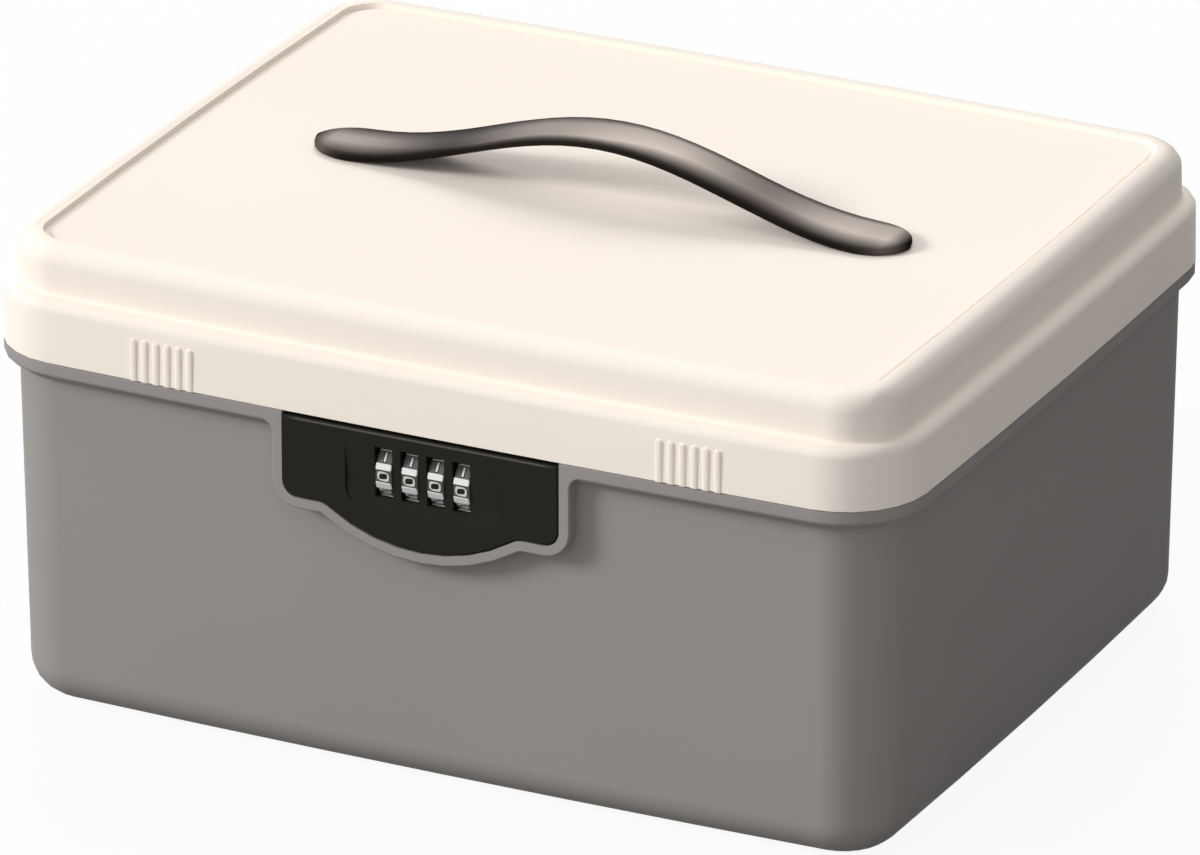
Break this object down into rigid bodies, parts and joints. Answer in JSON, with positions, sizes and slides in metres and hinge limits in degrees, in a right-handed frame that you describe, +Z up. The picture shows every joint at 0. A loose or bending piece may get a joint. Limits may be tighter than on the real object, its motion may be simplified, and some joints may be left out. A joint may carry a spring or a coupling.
{
  "type": "medication lock box",
  "caption": "Portable lockable storage box with a bowed rectangular body, stepped back-hinged lid, strap handle and a combination lock with number wheels in the front wall.",
  "frame": {"origin": "middle of the bounding box in plan, at the base that rests on the table", "axes": "+X along the long front, to the right as seen from the front; -Y is the front with the lock; +Z is up"},
  "size_m": [0.3132, 0.2606, 0.1756],
  "materials": {
    "body_plastic": "fine satin texture",
    "lid_plastic": "smooth satin",
    "handle_plastic": "satin, polished crown",
    "lock_plastic": "smooth satin",
    "case_plastic": "moulded matt",
    "dial_chrome": "bright plated",
    "steel": "zinc plated",
    "brass": "machined"
  },
  "bodies": {
    "box": {"body_tub": "body_plastic", "lock_face_plate": "lock_plastic", "lock_case": "case_plastic", "lock_screw_1": "steel", "lock_screw_2": "steel", "lock_screw_3": "steel", "lock_screw_4": "steel", "detent_comb": "steel", "bolt_spring": "steel", "shaft_spring": "steel", "hinge_pin_left": "steel", "hinge_pin_right": "steel"},
    "lid": {"lid_shell": "lid_plastic", "handle_strap": "handle_plastic", "handle_washer_left": "steel", "handle_washer_right": "steel", "handle_screw_left": "steel", "handle_screw_right": "steel", "lid_catch": "steel", "catch_screw_left": "steel", "catch_screw_right": "steel"},
    "dial_1": {"dial_wheel_1": "dial_chrome"},
    "dial_2": {"dial_wheel_2": "dial_chrome"},
    "dial_3": {"dial_wheel_3": "dial_chrome"},
    "dial_4": {"dial_wheel_4": "dial_chrome"},
    "sleeve_1": {"code_sleeve_1": "brass"},
    "sleeve_2": {"code_sleeve_2": "brass"},
    "sleeve_3": {"code_sleeve_3": "brass"},
    "sleeve_4": {"code_sleeve_4": "brass"},
    "bolt": {"latch_bolt": "steel"},
    "code_shaft": {"dial_axle": "steel", "reset_lever": "steel"}
  },
  "joints": [
    {"name": "lid_hinge", "type": "hinge", "parent": "box", "child": "lid", "pos_m": [0, 0.12683, 0.1172], "axis": [-1, 0, 0], "range_deg": [0, 100]},
    {"name": "dial_1_turn", "type": "hinge", "parent": "box", "child": "dial_1", "pos_m": [-0.0132, -0.12017, 0.1037], "axis": [1, 0, 0], "continuous": true},
    {"name": "dial_2_turn", "type": "hinge", "parent": "box", "child": "dial_2", "pos_m": [-0.0044, -0.12017, 0.1037], "axis": [1, 0, 0], "continuous": true},
    {"name": "dial_3_turn", "type": "hinge", "parent": "box", "child": "dial_3", "pos_m": [0.0044, -0.12017, 0.1037], "axis": [1, 0, 0], "continuous": true},
    {"name": "dial_4_turn", "type": "hinge", "parent": "box", "child": "dial_4", "pos_m": [0.0132, -0.12017, 0.1037], "axis": [1, 0, 0], "continuous": true},
    {"name": "bolt_slide", "type": "slide", "parent": "box", "child": "bolt", "axis": [0, -1, 0], "range_m": [0, 0.0029], "stiffness_N_per_m": 300, "springref_m": -0.002, "deforming": ["bolt_spring"]},
    {"name": "code_shaft_slide", "type": "slide", "parent": "box", "child": "code_shaft", "axis": [-1, 0, 0], "range_m": [0, 0.002], "stiffness_N_per_m": 400, "springref_m": -0.002, "deforming": ["shaft_spring"]},
    {"name": "sleeve_1_slide", "type": "slide", "parent": "dial_1", "child": "sleeve_1", "axis": [-1, 0, 0], "range_m": [0, 0.002]},
    {"name": "sleeve_2_slide", "type": "slide", "parent": "dial_2", "child": "sleeve_2", "axis": [-1, 0, 0], "range_m": [0, 0.002]},
    {"name": "sleeve_3_slide", "type": "slide", "parent": "dial_3", "child": "sleeve_3", "axis": [-1, 0, 0], "range_m": [0, 0.002]},
    {"name": "sleeve_4_slide", "type": "slide", "parent": "dial_4", "child": "sleeve_4", "axis": [-1, 0, 0], "range_m": [0, 0.002]}
  ],
  "couplings": [
    {"joint": "sleeve_1_slide", "follows": "code_shaft_slide", "ratio": 1},
    {"joint": "sleeve_2_slide", "follows": "code_shaft_slide", "ratio": 1},
    {"joint": "sleeve_3_slide", "follows": "code_shaft_slide", "ratio": 1},
    {"joint": "sleeve_4_slide", "follows": "code_shaft_slide", "ratio": 1}
  ]
}
